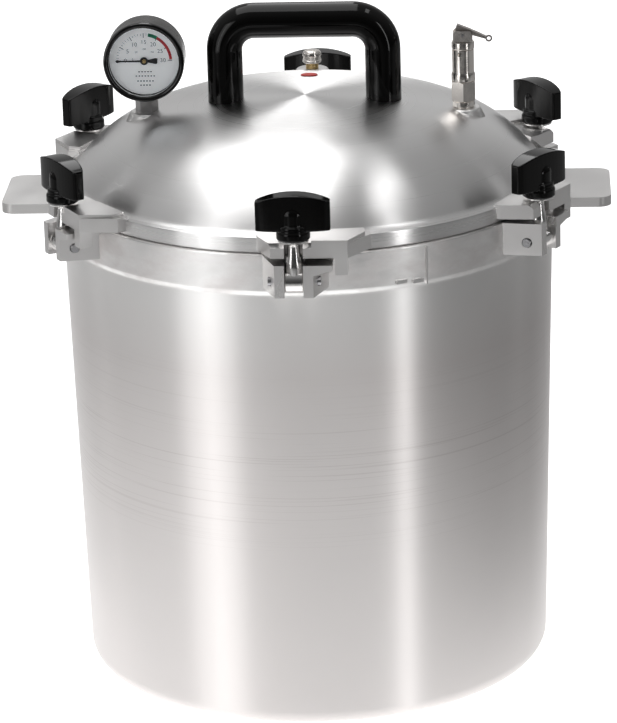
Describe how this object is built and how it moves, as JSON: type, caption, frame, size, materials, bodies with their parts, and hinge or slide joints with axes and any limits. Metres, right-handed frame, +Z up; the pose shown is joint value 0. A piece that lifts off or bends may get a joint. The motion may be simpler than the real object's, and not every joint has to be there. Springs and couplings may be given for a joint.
{
  "type": "pressure canner",
  "caption": "Large aluminium pressure canner with a domed lid, swing-bolt clamps with black wing nuts, dial gauge, relief valve and black top handle.",
  "frame": {"origin": "centre of the base, on the surface the pot stands on", "axes": "+Z up along the pot's axis, -Y towards the front clamp, +X towards the relief valve's side handle"},
  "size_m": [0.428, 0.3996, 0.478],
  "materials": {
    "cast_aluminium": "satin, fine turning marks round the wall",
    "polished_aluminium": "polished, faint spin marks",
    "rack_aluminium": "plain sheet",
    "plated_steel": "bright zinc plate",
    "nickel_plate": "bright nickel plate",
    "pin_steel": "dull steel",
    "brass": "machined brass",
    "black_phenolic": "glossy moulded phenolic",
    "black_painted_case": "semi-gloss black paint",
    "clear_glass": "clear flat lens",
    "dial_white": "matt white dial with a printed scale",
    "pointer_black": "matt black",
    "red_rubber": "soft red rubber"
  },
  "bodies": {
    "pot": {"pot_body": "cast_aluminium", "hinge_pins": "pin_steel"},
    "rack": {"rack": "rack_aluminium"},
    "bolt_1": {"swing_bolt_1": "plated_steel"},
    "clamp_washer_1": {"washer_1": "plated_steel"},
    "nut_1": {"wing_nut_1": "black_phenolic", "nut_insert_1": "brass"},
    "bolt_2": {"swing_bolt_2": "plated_steel"},
    "clamp_washer_2": {"washer_2": "plated_steel"},
    "nut_2": {"wing_nut_2": "black_phenolic", "nut_insert_2": "brass"},
    "bolt_3": {"swing_bolt_3": "plated_steel"},
    "clamp_washer_3": {"washer_3": "plated_steel"},
    "nut_3": {"wing_nut_3": "black_phenolic", "nut_insert_3": "brass"},
    "bolt_4": {"swing_bolt_4": "plated_steel"},
    "clamp_washer_4": {"washer_4": "plated_steel"},
    "nut_4": {"wing_nut_4": "black_phenolic", "nut_insert_4": "brass"},
    "bolt_5": {"swing_bolt_5": "plated_steel"},
    "clamp_washer_5": {"washer_5": "plated_steel"},
    "nut_5": {"wing_nut_5": "black_phenolic", "nut_insert_5": "brass"},
    "bolt_6": {"swing_bolt_6": "plated_steel"},
    "clamp_washer_6": {"washer_6": "plated_steel"},
    "nut_6": {"wing_nut_6": "black_phenolic", "nut_insert_6": "brass"},
    "lid": {"lid": "polished_aluminium", "top_handle": "black_phenolic", "handle_screws": "plated_steel", "gauge_stem": "plated_steel", "gauge_case": "black_painted_case", "gauge_bezel": "black_painted_case", "gauge_lens": "clear_glass", "gauge_dial": "dial_white", "bourdon_tube": "brass", "gauge_movement": "brass", "relief_valve_body": "nickel_plate", "relief_valve_cap": "nickel_plate", "lever_pin": "pin_steel", "vent_pipe": "brass", "valve_spring": "pin_steel"},
    "pointer": {"gauge_pointer": "pointer_black"},
    "relief_stem": {"valve_stem": "brass"},
    "lever": {"lift_lever": "nickel_plate"},
    "weight": {"regulator_weight": "nickel_plate"},
    "plug": {"overpressure_plug": "red_rubber"}
  },
  "joints": [
    {"name": "lid_lift", "type": "slide", "parent": "pot", "child": "lid", "axis": [0, 0, 1], "range_m": [0, 0.014]},
    {"name": "bolt_swing_1", "type": "hinge", "parent": "pot", "child": "bolt_1", "pos_m": [0, -0.1884, 0.334], "axis": [1, 0, 0], "range_deg": [0, 150]},
    {"name": "washer_slide_1", "type": "slide", "parent": "bolt_1", "child": "clamp_washer_1", "axis": [0, 0, 1], "range_m": [0, 0.0072]},
    {"name": "nut_turn_1", "type": "hinge", "parent": "clamp_washer_1", "child": "nut_1", "pos_m": [0, -0.1884, 0.37], "axis": [0, 0, 1], "range_deg": [0, 1440]},
    {"name": "bolt_swing_2", "type": "hinge", "parent": "pot", "child": "bolt_2", "pos_m": [0.16316, -0.0942, 0.334], "axis": [0.5, 0.866, 0], "range_deg": [0, 150]},
    {"name": "washer_slide_2", "type": "slide", "parent": "bolt_2", "child": "clamp_washer_2", "axis": [0, 0, 1], "range_m": [0, 0.0072]},
    {"name": "nut_turn_2", "type": "hinge", "parent": "clamp_washer_2", "child": "nut_2", "pos_m": [0.16316, -0.0942, 0.37], "axis": [0, 0, 1], "range_deg": [0, 1440]},
    {"name": "bolt_swing_3", "type": "hinge", "parent": "pot", "child": "bolt_3", "pos_m": [0.16316, 0.0942, 0.334], "axis": [-0.5, 0.866, 0], "range_deg": [0, 150]},
    {"name": "washer_slide_3", "type": "slide", "parent": "bolt_3", "child": "clamp_washer_3", "axis": [0, 0, 1], "range_m": [0, 0.0072]},
    {"name": "nut_turn_3", "type": "hinge", "parent": "clamp_washer_3", "child": "nut_3", "pos_m": [0.16316, 0.0942, 0.37], "axis": [0, 0, 1], "range_deg": [0, 1440]},
    {"name": "bolt_swing_4", "type": "hinge", "parent": "pot", "child": "bolt_4", "pos_m": [0, 0.1884, 0.334], "axis": [-1, 0, 0], "range_deg": [0, 150]},
    {"name": "washer_slide_4", "type": "slide", "parent": "bolt_4", "child": "clamp_washer_4", "axis": [0, 0, 1], "range_m": [0, 0.0072]},
    {"name": "nut_turn_4", "type": "hinge", "parent": "clamp_washer_4", "child": "nut_4", "pos_m": [0, 0.1884, 0.37], "axis": [0, 0, 1], "range_deg": [0, 1440]},
    {"name": "bolt_swing_5", "type": "hinge", "parent": "pot", "child": "bolt_5", "pos_m": [-0.16316, 0.0942, 0.334], "axis": [-0.5, -0.866, 0], "range_deg": [0, 150]},
    {"name": "washer_slide_5", "type": "slide", "parent": "bolt_5", "child": "clamp_washer_5", "axis": [0, 0, 1], "range_m": [0, 0.0072]},
    {"name": "nut_turn_5", "type": "hinge", "parent": "clamp_washer_5", "child": "nut_5", "pos_m": [-0.16316, 0.0942, 0.37], "axis": [0, 0, 1], "range_deg": [0, 1440]},
    {"name": "bolt_swing_6", "type": "hinge", "parent": "pot", "child": "bolt_6", "pos_m": [-0.16316, -0.0942, 0.334], "axis": [0.5, -0.866, 0], "range_deg": [0, 150]},
    {"name": "washer_slide_6", "type": "slide", "parent": "bolt_6", "child": "clamp_washer_6", "axis": [0, 0, 1], "range_m": [0, 0.0072]},
    {"name": "nut_turn_6", "type": "hinge", "parent": "clamp_washer_6", "child": "nut_6", "pos_m": [-0.16316, -0.0942, 0.37], "axis": [0, 0, 1], "range_deg": [0, 1440]},
    {"name": "rack_lift", "type": "slide", "parent": "pot", "child": "rack", "axis": [0, 0, 1], "range_m": [0, 0.3]},
    {"name": "pointer_sweep", "type": "hinge", "parent": "lid", "child": "pointer", "pos_m": [-0.1115, -0.008, 0.4395], "axis": [0, 1, 0], "range_deg": [0, 180]},
    {"name": "relief_stem_lift", "type": "slide", "parent": "lid", "child": "relief_stem", "axis": [0, 0, 1], "range_m": [0, 0.002], "deforming": ["valve_spring"]},
    {"name": "lever_lift", "type": "hinge", "parent": "lid", "child": "lever", "pos_m": [0.1115, 0, 0.454], "axis": [0, -1, 0], "range_deg": [0, 15]},
    {"name": "weight_lift_off", "type": "slide", "parent": "lid", "child": "weight", "axis": [0, 0, 1], "range_m": [0, 0.02]},
    {"name": "plug_release", "type": "slide", "parent": "lid", "child": "plug", "axis": [0, 0.1154, 0.9933], "range_m": [0, 0.006]}
  ],
  "couplings": [
    {"joint": "bolt_swing_1", "follows": "lid_lift", "rad_per_m": 187},
    {"joint": "washer_slide_1", "follows": "nut_turn_1", "m_per_rad": 0.00028648},
    {"joint": "bolt_swing_2", "follows": "lid_lift", "rad_per_m": 187},
    {"joint": "washer_slide_2", "follows": "nut_turn_2", "m_per_rad": 0.00028648},
    {"joint": "bolt_swing_3", "follows": "lid_lift", "rad_per_m": 187},
    {"joint": "washer_slide_3", "follows": "nut_turn_3", "m_per_rad": 0.00028648},
    {"joint": "bolt_swing_4", "follows": "lid_lift", "rad_per_m": 187},
    {"joint": "washer_slide_4", "follows": "nut_turn_4", "m_per_rad": 0.00028648},
    {"joint": "bolt_swing_5", "follows": "lid_lift", "rad_per_m": 187},
    {"joint": "washer_slide_5", "follows": "nut_turn_5", "m_per_rad": 0.00028648},
    {"joint": "bolt_swing_6", "follows": "lid_lift", "rad_per_m": 187},
    {"joint": "washer_slide_6", "follows": "nut_turn_6", "m_per_rad": 0.00028648},
    {"joint": "relief_stem_lift", "follows": "lever_lift", "m_per_rad": 0.007639}
  ]
}
